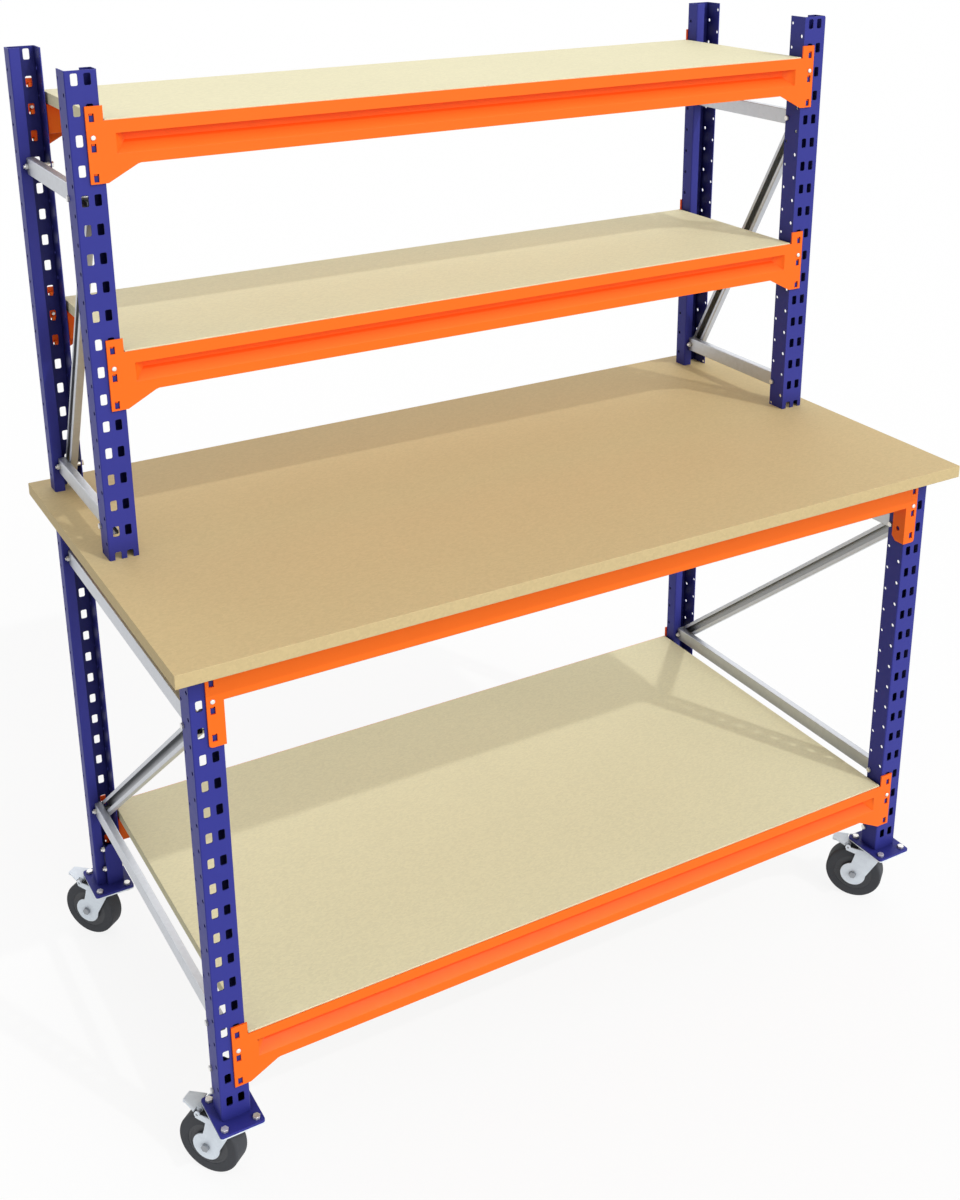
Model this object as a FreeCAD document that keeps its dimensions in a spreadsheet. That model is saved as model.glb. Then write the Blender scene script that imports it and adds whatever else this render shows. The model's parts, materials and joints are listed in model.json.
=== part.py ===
import FreeCAD, Part
import math
import os
import Sketcher

# Mobile workbench: two bolted side frames, plug-in beams, four boards and four braked swivel casters.
# Frame: X runs left to right, Y front to back, Z up. The origin lies on the floor below the frame's middle.
# Lengths are in millimetres, angles in degrees.

doc = FreeCAD.newDocument("mobile_workbench")
sheet = doc.addObject("Spreadsheet::Sheet", "sizes")

DRIVING_SIZES = {
    # Whole bench
    "beam_span": 1500,
    "lower_depth": 800,
    "upper_depth": 400,
    "cut_overrun": 2,
    "seat_gap": 0.3,
    # Uprights
    "web_width": 55,
    "plain_flange": 44.5,
    "lipped_flange": 33,
    "lip_width": 20,
    "upright_wall": 2,
    "lower_length": 910,
    "upper_length": 870,
    "lower_first_slot": 40,
    "upper_first_slot": 5,
    "slot_pitch": 50,
    "slot_width": 12,
    "slot_height": 20,
    "slot_corner": 3,
    "slot_columns": 22,
    "accessory_hole": 3.75,
    "accessory_hole_depth": 9.5,
    "bolt_hole_edge": 5.2,
    # Boards
    "worktop_thickness": 25,
    "front_overhang": 50,
    "rear_overhang": 45,
    "side_overhang": 35,
    "shelf_thickness": 22,
    "shelf_end_gap": 5,
    "shelf_side_gap": 1,
    # Beams
    "beam_wall": 2,
    "beam_depth": 40,
    "shelf_beam_height": 75,
    "shelf_beam_lip": 20,
    "groove_depth": 20,
    "groove_wall": 15,
    "groove_slope": 20,
    "groove_end": 18,
    "gusset_length": 55,
    "worktop_beam_height": 69,
    # Beam connectors
    "connector_wall": 3,
    "connector_cover": 27,
    "connector_leg": 34,
    "connector_chamfer": 10,
    "shelf_connector_height": 129,
    "shelf_connector_top": 6,
    "beam_below_connector": 25,
    "worktop_connector_height": 135,
    "worktop_connector_top": 5,
    "hook_width": 5.5,
    "hook_height": 8,
    "hook_reach": 8,
    "hook_below_slot": 5.5,
    "window_width": 8.5,
    "window_height": 14,
    "window_below_slot": 13,
    "side_hole": 5,
    "side_hole_depth": 16,
    "lock_pin_radius": 3,
    "lock_pin_above_slot": 4,
    "lock_pin_head": 4.5,
    "lock_pin_head_height": 2.5,
    # Braces and their bolts
    "brace_left": 12,
    "brace_height": 32,
    "brace_width": 15.5,
    "brace_wall": 1.5,
    "brace_end_margin": 14,
    "brace_gap": 0.3,
    "bolt_radius": 3,
    "bolt_clearance": 0.3,
    "sleeve_radius": 5,
    "bolt_tail": 3,
    "bolt_head_radius": 5.77,
    "bolt_head_height": 4,
    "nut_height": 5,
    # Post feet
    "foot_plate_length": 105,
    "foot_plate_width": 85,
    "foot_plate_thickness": 5,
    "foot_plate_corner": 6,
    "foot_plate_back": 20,
    "foot_socket_gap": 1,
    "foot_socket_chamfer": 8,
    "foot_socket_height": 100,
    "foot_socket_wall": 3,
    "foot_bolt_columns": 60,
    "foot_bolt_rows": 80,
    "foot_bolt_radius": 4,
    "foot_bolt_head_radius": 7.2,
    "foot_bolt_head_height": 5.3,
    "foot_nut_height": 6,
    # Casters
    "caster_height": 140,
    "caster_plate": 3,
    "caster_heading": 127,
    "trail": 47,
    "wheel_radius": 62.5,
    "tyre_width": 37,
    "tyre_edge": 5,
    "rim_radius": 42,
    "rim_width": 36,
    "hub_radius": 14,
    "rim_wall": 5,
    "rim_web": 35,
    "axle_radius": 5,
    "running_gap": 0.05,
    "fork_wall": 3,
    "fork_inner_width": 43,
    "fork_disc_radius": 28,
    "fork_head_radius": 33,
    "fork_head_thickness": 4,
    "fork_leg_drop": 1,
    "fork_heel": 8,
    "fork_heel_height": 18,
    "fork_neck_inset": 13,
    "fork_neck_height": 29,
    "fork_notch_inset": 17,
    "fork_notch_height": 13,
    "fork_ear_front": 4,
    "fork_ear_height": 8,
    "fork_ear_radius": 6,
    "fork_bridge_front": 40,
    "race_radius": 28,
    "race_height": 5.7,
    "kingpin_radius": 6,
    "kingpin_head_radius": 10,
    "kingpin_head_height": 2.5,
    "axle_nut_radius": 8,
    "axle_nut_height": 6,
    # Brake pedal
    "pedal_pivot_out": 62,
    "pedal_pivot_height": 129.5,
    "pedal_pin_radius": 2.5,
    "pedal_barrel_radius": 4.2,
    "pedal_width": 22,
    "pedal_flare_out": 69.5,
    "pedal_flare_width": 46,
    "pedal_tip_out": 100,
    "pedal_tip_height": 139.5,
    "pedal_wall": 3,
    "pedal_skirt": 7,
    "pedal_shoe_length": 9,
    "pedal_shoe_height": 9,
}

for row, (alias, number) in enumerate(DRIVING_SIZES.items(), start=1):
    sheet.set(f"A{row}", alias)
    sheet.set(f"B{row}", str(number))
    sheet.setAlias(f"B{row}", alias)
doc.recompute()


class Size:
    """A number with the sheet expression that it follows."""

    def __init__(self, value, text):
        self.value = value
        self.text = text

    def joined(self, other, sign, value):
        return Size(value, f"({self.text} {sign} {as_size(other).text})")

    def __add__(self, other):
        return self.joined(other, "+", self.value + as_size(other).value)

    def __sub__(self, other):
        return self.joined(other, "-", self.value - as_size(other).value)

    def __mul__(self, other):
        return self.joined(other, "*", self.value * as_size(other).value)

    def __truediv__(self, other):
        return self.joined(other, "/", self.value / as_size(other).value)

    def __neg__(self):
        return ZERO - self


def as_size(number):
    return number if isinstance(number, Size) else Size(number, repr(number))


ZERO = Size(0, "0")


class SheetSizes:
    """Reads a driving dimension by its alias."""

    def __getattr__(self, alias):
        return Size(float(sheet.get(alias)), f"sizes.{alias}")


d = SheetSizes()


def bind(thing, prop, size):
    thing.setExpression(prop, as_size(size).text)


def place(thing, x=ZERO, y=ZERO, z=ZERO, axis=(0, 0, 1), angle=0):
    """Puts an object's own origin at x, y, z, turned about an axis through it."""
    turn = FreeCAD.Rotation(FreeCAD.Vector(*axis), angle)
    thing.Placement = FreeCAD.Placement(FreeCAD.Vector(0, 0, 0), turn)
    for letter, size in zip("xyz", (x, y, z)):
        bind(thing, f"Placement.Base.{letter}", size)
    return thing


def box(name, sizes, corner=(ZERO, ZERO, ZERO)):
    made = doc.addObject("Part::Box", name)
    for prop, size in zip(("Length", "Width", "Height"), sizes):
        bind(made, prop, size)
    return place(made, *corner)


TURNS = {"X": ((0, 1, 0), 90), "Y": ((1, 0, 0), -90), "Z": ((0, 0, 1), 0)}


def cylinder(name, radius, length, start, along="Z"):
    made = doc.addObject("Part::Cylinder", name)
    bind(made, "Radius", radius)
    bind(made, "Height", length)
    return place(made, *start, *TURNS[along])


def hexagon(name, corner_radius, length, start, along="Z"):
    made = doc.addObject("Part::Prism", name)
    made.Polygon = 6
    bind(made, "Circumradius", corner_radius)
    bind(made, "Height", length)
    return place(made, *start, *TURNS[along])


PROFILE_TURNS = {
    "XY": FreeCAD.Rotation(),
    "XZ": FreeCAD.Rotation(FreeCAD.Vector(1, 0, 0), 90),
    "YZ": FreeCAD.Rotation(FreeCAD.Vector(1, 1, 1), 120),
}
PROFILE_NORMALS = {"XY": (0, 0, 1), "XZ": (0, 1, 0), "YZ": (1, 0, 0)}


def prism(name, outline, length, plane="XY", start=(ZERO, ZERO, ZERO)):
    """Extrudes a straight-sided outline, drawn in a plane, along that plane's positive normal."""
    sketch = doc.addObject("Sketcher::SketchObject", f"{name}_outline")
    sketch.Placement = FreeCAD.Placement(FreeCAD.Vector(0, 0, 0), PROFILE_TURNS[plane])
    count = len(outline)
    corners = [FreeCAD.Vector(as_size(u).value, as_size(v).value, 0) for u, v in outline]
    for i in range(count):
        sketch.addGeometry(Part.LineSegment(corners[i], corners[(i + 1) % count]), False)
    for i in range(count):
        sketch.addConstraint(Sketcher.Constraint("Coincident", i, 2, (i + 1) % count, 1))
    for i, (u, v) in enumerate(outline):
        for kind, size in (("DistanceX", u), ("DistanceY", v)):
            index = sketch.addConstraint(Sketcher.Constraint(kind, -1, 1, i, 1, as_size(size).value))
            bind(sketch, f"Constraints[{index}]", size)
    made = doc.addObject("Part::Extrusion", name)
    made.Base = sketch
    made.DirMode = "Custom"
    made.Dir = FreeCAD.Vector(*PROFILE_NORMALS[plane])
    made.Solid = True
    bind(made, "LengthFwd", length)
    return place(made, *start)


def cut(name, base, tools):
    made = doc.addObject("Part::Cut", name)
    made.Base = base
    made.Tool = tools[0] if len(tools) == 1 else group(f"{name}_tools", tools)
    return made


def fuse(name, pieces):
    made = doc.addObject("Part::MultiFuse", name)
    made.Shapes = pieces
    made.Refine = True
    return made


def common(name, pieces):
    made = doc.addObject("Part::MultiCommon", name)
    made.Shapes = pieces
    return made


def group(name, pieces):
    made = doc.addObject("Part::Compound", name)
    made.Links = pieces
    return made


def rounded(name, base, radius, along):
    """Rounds the edges of a plain box that run along one axis."""
    doc.recompute()
    made = doc.addObject("Part::Fillet", name)
    made.Base = base
    edges = []
    for number, edge in enumerate(base.Shape.Edges, start=1):
        run = edge.Vertexes[1].Point - edge.Vertexes[0].Point
        if abs(abs(getattr(run, along)) - run.Length) < run.Length * EDGE_RUN_SHARE:
            edges.append((number, as_size(radius).value, as_size(radius).value))
    made.Edges = edges
    return made


EDGE_RUN_SHARE = 0.001
SLOPE_CORNER_SHARE = 0.414
HOOK_ROWS = 3
FOOT_BOLT_ROWS = (0, 1)
LOWER_SHELF_ROW = 3
LOWER_BRACE_ROW = 3
UPPER_BRACE_ROW = 1
MIDDLE_SHELF_ROW = 8
TOP_SHELF_BELOW_TOP = 1
LOWER_BRACE_BELOW_TOP = 2
UPPER_BRACE_BELOW_TOP = 4
nodes = []


def node(name, made):
    made.Label = name
    nodes.append(made)
    return made


# Planes and heights that several sub-parts share
lower_bottom = d.caster_height + d.foot_plate_thickness
lower_top = lower_bottom + d.lower_length
worktop_top = lower_top + d.worktop_thickness
rear_face = d.lower_depth / 2
lower_front = -rear_face
upper_front = rear_face - d.upper_depth
left_post = -(d.beam_span / 2 + d.web_width)
right_post = d.beam_span / 2
bolt_depth = d.plain_flange - d.bolt_hole_edge
bolt_bore = d.bolt_radius + d.bolt_clearance

POSTS = {
    "front_left": (left_post, False),
    "front_right": (right_post, False),
    "rear_left": (left_post, True),
    "rear_right": (right_post, True),
}


def stand(name, master, post, front, height):
    """Puts a copy of a master drawn in a post's own frame at that post; rear posts are turned about."""
    post_x, turned = POSTS[post]
    if turned:
        return place(group(name, [master]), post_x + d.web_width, rear_face, height, angle=180)
    return place(group(name, [master]), post_x, front, height)


# Uprights: a folded sheet with one plain and one lipped flange, slotted all the way up.
# In a post's own frame the web faces forward at y = 0 and the plain flange is on the left.

def top_row(length, first_slot):
    """Number of the highest slot row that fits below an upright's top end, counted from zero."""
    room = length - first_slot - d.slot_height / 2
    return int(room.value // d.slot_pitch.value)


def upright(name, length, first_slot):
    w, wall, overrun = d.web_width, d.upright_wall, d.cut_overrun
    lip_edge = w - d.lip_width
    lip_face = d.lipped_flange
    blank = prism(f"{name}_section", [
        (ZERO, ZERO), (w, ZERO), (w, lip_face), (lip_edge, lip_face), (lip_edge, lip_face - wall),
        (w - wall, lip_face - wall), (w - wall, wall), (wall, wall),
        (wall, d.plain_flange), (ZERO, d.plain_flange),
    ], length)
    through = wall + overrun * 2
    rows = top_row(length, first_slot) + 1
    tools = []
    for k in range(rows):
        height = first_slot + d.slot_pitch * k
        for side in (-1, 1):
            left = w / 2 + d.slot_columns / 2 * side - d.slot_width / 2
            slot = box(f"{name}_slot", (d.slot_width, through, d.slot_height),
                       (left, -overrun, height - d.slot_height / 2))
            tools.append(rounded(f"{name}_round_slot", slot, d.slot_corner, "y"))
        tools.append(cylinder(f"{name}_bolt_hole", bolt_bore, through, (-overrun, bolt_depth, height), "X"))
        if k + 1 < rows:
            middle = height + d.slot_pitch / 2
            tools.append(cylinder(f"{name}_accessory_hole", d.accessory_hole, w + overrun * 2,
                                  (-overrun, d.accessory_hole_depth, middle), "X"))
    return cut(name, blank, tools)


lower_top_row = top_row(d.lower_length, d.lower_first_slot)
upper_top_row = top_row(d.upper_length, d.upper_first_slot)
lower_upright = upright("lower_upright_form", d.lower_length, d.lower_first_slot)
upper_upright = upright("upper_upright_form", d.upper_length, d.upper_first_slot)
TIERS = {
    "lower_upright": (lower_upright, lower_front, lower_bottom),
    "upper_upright": (upper_upright, upper_front, worktop_top),
}
for tier, (form, front, height) in TIERS.items():
    for post in POSTS:
        node(f"{tier}_{post}", stand(f"{tier}_{post}", form, post, front, height))


# Beams: the shelf beam is a folded step section with a groove along its face and a gusset at each end,
# the worktop beam a plain box. In a beam's own frame the face is at y = 0 and the top of the lip at z = 0.

beam_length = d.beam_span - d.connector_wall * 2


def shelf_beam(name):
    wall, depth = d.beam_wall, d.beam_depth
    ledge = -d.shelf_beam_lip
    under = ledge - wall
    groove_foot = under - d.groove_wall
    slope_foot = groove_foot - d.groove_slope
    bottom = -d.shelf_beam_height
    inset = wall * SLOPE_CORNER_SHARE
    groove = d.groove_depth
    skin = prism(f"{name}_skin", [
        (ZERO, ZERO), (ZERO, under), (groove, under), (groove, groove_foot), (ZERO, slope_foot),
        (ZERO, bottom), (depth, bottom), (depth, ledge), (wall, ledge), (wall, ZERO),
    ], beam_length, "YZ")
    inside = prism(f"{name}_inside", [
        (groove + wall, under), (groove + wall, groove_foot - inset), (wall, slope_foot - inset),
        (wall, bottom + wall), (depth - wall, bottom + wall), (depth - wall, under),
    ], beam_length + d.cut_overrun * 2, "YZ", (-d.cut_overrun, ZERO, ZERO))
    pieces = [cut(f"{name}_tube", skin, [inside])]
    gusset_drop = d.shelf_connector_height - d.beam_below_connector
    for end, sign in ((ZERO, 1), (beam_length, -1)):
        pieces.append(prism(f"{name}_gusset", [
            (end, bottom), (end + d.gusset_length * sign, bottom), (end, -gusset_drop),
        ], wall, "XZ"))
        pieces.append(prism(f"{name}_groove_end", [
            (end, ZERO), (end + d.groove_end * sign, ZERO),
            (end + (d.groove_end + groove) * sign, groove), (end, groove),
        ], under - slope_foot, "XY", (ZERO, ZERO, slope_foot)))
    return fuse(name, pieces)


def worktop_beam(name):
    wall = d.beam_wall
    outside = box(f"{name}_outside", (beam_length, d.beam_depth, d.worktop_beam_height),
                  (ZERO, ZERO, -d.worktop_beam_height))
    inside = box(f"{name}_inside",
                 (beam_length + d.cut_overrun * 2, d.beam_depth - wall * 2, d.worktop_beam_height - wall * 2),
                 (-d.cut_overrun, wall, wall - d.worktop_beam_height))
    return cut(name, outside, [inside])


shelf_form = shelf_beam("shelf_beam_form")
worktop_form = worktop_beam("worktop_beam_form")


# Beam connectors: an angle whose hooks sit in the inner slot column of an upright.
# In its own frame the upright's inner edge is at x = 0, its face at y = 0 and the top hook row at z = 0.

slot_inset = d.web_width / 2 - d.slot_columns / 2


def connector(name, top, height, leg_top, leg_bottom):
    """A front leg that hooks into the upright, with a side leg between two heights to carry the beam."""
    wall = d.connector_wall
    leg_end = d.connector_leg - wall
    pieces = [
        box(f"{name}_front_leg", (d.connector_cover + wall, wall, height),
            (-d.connector_cover, -wall, top - height)),
        prism(f"{name}_side_leg", [
            (-wall, leg_top), (leg_end, leg_top), (leg_end, leg_bottom + d.connector_chamfer),
            (leg_end - d.connector_chamfer, leg_bottom), (-wall, leg_bottom),
        ], wall, "YZ"),
    ]
    windows = []
    for k in range(HOOK_ROWS):
        row_height = -(d.slot_pitch * k)
        pieces.append(box(f"{name}_hook", (d.hook_width, d.hook_reach, d.hook_height),
                          (-(slot_inset + d.hook_width / 2), ZERO,
                           row_height - d.hook_below_slot - d.hook_height / 2)))
        windows.append(box(f"{name}_window", (d.window_width, wall, d.window_height),
                           (-(slot_inset + d.window_width / 2), -wall,
                            row_height - d.window_below_slot - d.window_height / 2)))
        if k > 0:
            windows.append(cylinder(f"{name}_side_hole", d.side_hole, wall + d.cut_overrun * 2,
                                    (-d.cut_overrun, d.side_hole_depth, row_height), "X"))
    pin_height = d.lock_pin_above_slot - d.slot_pitch
    windows.append(cylinder(f"{name}_pin_hole", d.lock_pin_radius, wall + d.cut_overrun * 2,
                            (-slot_inset, -(wall + d.cut_overrun), pin_height), "Y"))
    return cut(name, fuse(f"{name}_blank", pieces), windows)


def lock_pin(name):
    wall = d.connector_wall
    pin_height = d.lock_pin_above_slot - d.slot_pitch
    face = -(wall + d.lock_pin_head_height)
    return fuse(name, [
        cylinder(f"{name}_head", d.lock_pin_head, d.lock_pin_head_height,
                 (-slot_inset, face, pin_height), "Y"),
        cylinder(f"{name}_shank", d.lock_pin_radius, wall + d.hook_reach,
                 (-slot_inset, -wall, pin_height), "Y"),
    ])


def mirrored(name, source):
    made = doc.addObject("Part::Mirroring", name)
    made.Source = source
    made.Normal = FreeCAD.Vector(1, 0, 0)
    return made


def at_four_ends(name, master, front, row_height):
    """Copies of a piece drawn for a front left beam end, at all four ends of one level's beams."""
    twin = mirrored(f"{name}_twin", master)
    half = d.beam_span / 2
    copies = []
    for side, form in ((-1, master), (1, twin)):
        copies.append(place(group(f"{name}_front", [form]), half * side, front, row_height))
        copies.append(place(group(f"{name}_rear", [form]), half * -side, rear_face, row_height, angle=180))
    return copies


ledge_height = d.shelf_connector_top - d.beam_below_connector - d.shelf_beam_lip
shelf_connector = connector("shelf_connector_form", d.shelf_connector_top, d.shelf_connector_height,
                            ledge_height, ledge_height + d.shelf_beam_lip - d.shelf_beam_height)
worktop_connector = connector("worktop_connector_form", d.worktop_connector_top, d.worktop_connector_height,
                              d.worktop_connector_top, d.worktop_connector_top - d.worktop_connector_height)
pin_form = lock_pin("lock_pin_form")


def row_on(base, first_slot, row):
    return base + first_slot + d.slot_pitch * row


LEVELS = {
    "lower_shelf": (lower_front, row_on(lower_bottom, d.lower_first_slot, LOWER_SHELF_ROW)),
    "worktop": (lower_front, row_on(lower_bottom, d.lower_first_slot, lower_top_row)),
    "middle_shelf": (upper_front, row_on(worktop_top, d.upper_first_slot, MIDDLE_SHELF_ROW)),
    "top_shelf": (upper_front, row_on(worktop_top, d.upper_first_slot, upper_top_row - TOP_SHELF_BELOW_TOP)),
}

lock_pins = []
for level, (front, row_height) in LEVELS.items():
    is_worktop = level == "worktop"
    beam = worktop_form if is_worktop else shelf_form
    angle_form = worktop_connector if is_worktop else shelf_connector
    beam_top = row_height + d.shelf_connector_top - d.beam_below_connector
    if is_worktop:
        beam_top = lower_top
    face = d.connector_wall
    node(f"{level}_beam_front", place(group(f"{level}_beam_front", [beam]),
                                      -(beam_length / 2), front - face, beam_top))
    node(f"{level}_beam_rear", place(group(f"{level}_beam_rear", [beam]),
                                     beam_length / 2, rear_face + face, beam_top, angle=180))
    node(f"{level}_connectors", group(f"{level}_connectors",
                                      at_four_ends(f"{level}_connector", angle_form, front, row_height)))
    lock_pins += at_four_ends(f"{level}_lock_pin", pin_form, front, row_height)
    if not is_worktop:
        board_front = front - face + d.beam_wall + d.shelf_side_gap
        board_rear = rear_face + face - d.beam_wall - d.shelf_side_gap
        board_length = d.beam_span - d.shelf_end_gap * 2
        node(f"{level}_board", box(f"{level}_board",
                                   (board_length, board_rear - board_front, d.shelf_thickness),
                                   (-(board_length / 2), board_front, beam_top - d.shelf_beam_lip)))
node("beam_lock_pins", group("beam_lock_pins", lock_pins))

worktop_length = d.beam_span + d.web_width * 2 + d.side_overhang * 2
worktop_depth = d.lower_depth + d.front_overhang + d.rear_overhang
node("worktop_board", box("worktop_board", (worktop_length, worktop_depth, d.worktop_thickness),
                          (-(worktop_length / 2), lower_front - d.front_overhang, lower_top)))


# Side-frame braces: two level channels and one diagonal per frame, bolted between a front and a rear post.
# In a frame's own coordinates x = 0 is the outer face of the left post and y = 0 the front bolt line.

nut_seat = d.brace_left + d.brace_width * 2


def channel(name, length, start, web_right):
    width, tall, wall, overrun = d.brace_width, d.brace_height, d.brace_wall, d.cut_overrun
    hollow_left = -overrun if web_right else wall
    outside = box(f"{name}_outside", (width, length, tall), (ZERO, start, -(tall / 2)))
    inside = box(f"{name}_inside", (width - wall + overrun, length + overrun * 2, tall - wall * 2),
                 (hollow_left, start - overrun, wall - tall / 2))
    return cut(f"{name}_channel", outside, [inside])


def bolt_holes(name, distance):
    reach = d.brace_width + d.cut_overrun * 2
    return [cylinder(f"{name}_bolt_hole", bolt_bore, reach, (-d.cut_overrun, along, ZERO), "X")
            for along in (ZERO, distance)]


def level_brace(name, run):
    rear_end = run + bolt_depth - d.lipped_flange - d.brace_gap
    length = rear_end + d.brace_end_margin
    return cut(name, channel(name, length, -d.brace_end_margin, False), bolt_holes(name, run))


def diagonal_brace(name, run, rise):
    slope = Size(math.hypot(run.value, rise.value), f"sqrt({run.text}^2 + {rise.text}^2)")
    bar = cut(f"{name}_bar", channel(name, slope + d.brace_end_margin * 2, -d.brace_end_margin, True),
              bolt_holes(name, slope))
    tilt = math.degrees(math.atan2(rise.value, run.value))
    place(bar, axis=(1, 0, 0), angle=-tilt)
    tall = d.brace_height * 2
    trim = box(f"{name}_trim", (d.brace_width * 2, tall, tall * 2),
               (-d.brace_width, -(tall + bolt_depth - d.lipped_flange - d.brace_gap), -tall))
    return cut(name, bar, [trim])


def sleeve(name, start, end):
    length = end - start
    outside = cylinder(f"{name}_outside", d.sleeve_radius, length, (start, ZERO, ZERO), "X")
    bore = cylinder(f"{name}_bore", bolt_bore, length + d.cut_overrun * 2,
                    (start - d.cut_overrun, ZERO, ZERO), "X")
    return cut(name, outside, [bore])


def nutted_bolt(name, seat):
    """A bolt along +X with its head on the plane x = 0 and its nut on the plane x = seat."""
    return fuse(name, [
        hexagon(f"{name}_head", d.bolt_head_radius, d.bolt_head_height,
                (-d.bolt_head_height, ZERO, ZERO), "X"),
        cylinder(f"{name}_shank", d.bolt_radius, seat + d.nut_height + d.bolt_tail, (ZERO, ZERO, ZERO), "X"),
        hexagon(f"{name}_nut", d.bolt_head_radius, d.nut_height, (seat, ZERO, ZERO), "X"),
    ])


first_web = d.brace_left + d.brace_wall
last_web = nut_seat - d.brace_wall
flange_sleeve = sleeve("flange_sleeve", d.upright_wall, d.brace_left)
inner_sleeve = sleeve("inner_sleeve", first_web, last_web)
long_sleeve = sleeve("long_sleeve", d.upright_wall, last_web)
long_bolt = nutted_bolt("long_bolt", nut_seat)
short_bolt = nutted_bolt("short_bolt", first_web)
CORNER_STACKS = {
    ("front", "top"): [long_bolt, flange_sleeve, inner_sleeve],
    ("rear", "bottom"): [long_bolt, flange_sleeve, inner_sleeve],
    ("rear", "top"): [long_bolt, long_sleeve],
    ("front", "bottom"): [short_bolt, flange_sleeve],
}
FRAMES = {
    "lower": (lower_front, d.lower_depth, lower_bottom + d.lower_first_slot,
              {"top": lower_top_row - LOWER_BRACE_BELOW_TOP, "bottom": LOWER_BRACE_ROW}),
    "upper": (upper_front, d.upper_depth, worktop_top + d.upper_first_slot,
              {"top": upper_top_row - UPPER_BRACE_BELOW_TOP, "bottom": UPPER_BRACE_ROW}),
}

brace_bolts = []
for tier, (front, depth, first_row, rows) in FRAMES.items():
    bolt_run = depth - bolt_depth * 2
    heights = {end: first_row + d.slot_pitch * row for end, row in rows.items()}
    flat = level_brace(f"{tier}_level_brace_form", bolt_run)
    slant = diagonal_brace(f"{tier}_diagonal_brace_form", bolt_run, heights["top"] - heights["bottom"])
    bolt_line = front + bolt_depth
    for kind, form, height, offset in (
        ("top", flat, heights["top"], d.brace_left),
        ("bottom", flat, heights["bottom"], d.brace_left),
        ("diagonal", slant, heights["top"], d.brace_left + d.brace_width),
    ):
        pair = [place(group(f"{tier}_{kind}_brace_copy", [form]), post_x + offset, bolt_line, height)
                for post_x in (left_post, right_post)]
        node(f"{tier}_{kind}_braces", group(f"{tier}_{kind}_braces", pair))
    for post_x in (left_post, right_post):
        for (face, end), stack in CORNER_STACKS.items():
            copy = group(f"{tier}_{face}_{end}_stack", stack)
            if face == "front":
                place(copy, post_x, bolt_line, heights[end])
            else:
                place(copy, post_x + d.web_width, bolt_line + bolt_run, heights[end], angle=180)
            brace_bolts.append(copy)
node("brace_bolts", group("brace_bolts", brace_bolts))


# Post feet: a base plate with a socket that fills the open side of the upright, held by two bolts.
# Drawn in a post's own frame with z = 0 at the bottom of the upright.

plate_middle = (d.web_width / 2, d.foot_plate_back)
PLATE_CORNERS = [(-1, -1), (1, -1), (1, 1), (-1, 1)]


def plate_bolt_points():
    middle_x, middle_y = plate_middle
    return [(middle_x + d.foot_bolt_columns / 2 * across, middle_y + d.foot_bolt_rows / 2 * along)
            for across, along in PLATE_CORNERS]


def bolted_plate(name, thickness, bottom):
    """A plate with round corners and four bolt holes, centred below a post."""
    corner = (plate_middle[0] - d.foot_plate_width / 2, plate_middle[1] - d.foot_plate_length / 2, bottom)
    blank = box(f"{name}_blank", (d.foot_plate_width, d.foot_plate_length, thickness), corner)
    plate = rounded(f"{name}_rounded", blank, d.foot_plate_corner, "z")
    holes = [cylinder(f"{name}_hole", d.foot_bolt_radius + d.bolt_clearance, thickness + d.cut_overrun * 2,
                      (x, y, bottom - d.cut_overrun)) for x, y in plate_bolt_points()]
    return cut(name, plate, holes)


socket_right = d.web_width - d.lip_width - d.foot_socket_gap


def post_foot(name):
    wall, tall = d.foot_socket_wall, d.foot_socket_height
    left, front, back = d.upright_wall, d.upright_wall * 2, d.plain_flange
    outside = prism(f"{name}_socket_outside", [
        (left, ZERO), (socket_right, ZERO), (socket_right, tall - d.foot_socket_chamfer),
        (socket_right - d.foot_socket_chamfer, tall), (left, tall),
    ], back - front, "XZ", (ZERO, front, ZERO))
    hollow = (socket_right - left - wall * 2, back - front - wall + d.cut_overrun, tall + d.cut_overrun)
    inside = box(f"{name}_socket_inside", hollow, (left + wall, front - d.cut_overrun, ZERO))
    plate = bolted_plate(f"{name}_plate", d.foot_plate_thickness, -d.foot_plate_thickness)
    bores = [cylinder(f"{name}_bore", bolt_bore, d.web_width, (ZERO, bolt_depth, height), "X")
             for height in foot_bolt_heights]
    return fuse(name, [plate, cut(f"{name}_socket", cut(f"{name}_shell", outside, [inside]), bores)])


foot_bolt_heights = [d.lower_first_slot + d.slot_pitch * row for row in FOOT_BOLT_ROWS]
foot_form = post_foot("post_foot_form")
socket_bolt = nutted_bolt("socket_bolt", socket_right)


def plate_bolt(name):
    top, plates = d.foot_bolt_head_height, d.foot_plate_thickness + d.caster_plate
    return fuse(name, [
        hexagon(f"{name}_head", d.foot_bolt_head_radius, top, (ZERO, ZERO, ZERO)),
        cylinder(f"{name}_shank", d.foot_bolt_radius, plates, (ZERO, ZERO, -plates)),
        hexagon(f"{name}_nut", d.foot_bolt_head_radius, d.foot_nut_height,
                (ZERO, ZERO, -(plates + d.foot_nut_height))),
    ])


plate_bolt_form = plate_bolt("plate_bolt_form")
post_bolts = group("post_bolts", [place(group("post_bolt", [socket_bolt]), ZERO, bolt_depth, height)
                                  for height in foot_bolt_heights])
plate_bolts = group("plate_bolts", [place(group("plate_bolt", [plate_bolt_form]), x, y, ZERO)
                                    for x, y in plate_bolt_points()])


# Casters: in a caster's own frame the kingpin is the z axis, the floor is z = 0
# and the wheel trails along +x.

plate_under = d.caster_height - d.caster_plate
race_under = plate_under - d.race_height
fork_top = race_under - d.seat_gap
fork_under = fork_top - d.fork_head_thickness
half_inner = d.fork_inner_width / 2
half_outer = half_inner + d.fork_wall


def caster_race(name):
    ring = cylinder(f"{name}_ring", d.race_radius, d.race_height, (ZERO, ZERO, race_under))
    return cut(name, ring, [cylinder(f"{name}_bore", d.kingpin_radius, d.caster_height, (ZERO, ZERO, ZERO))])


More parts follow.
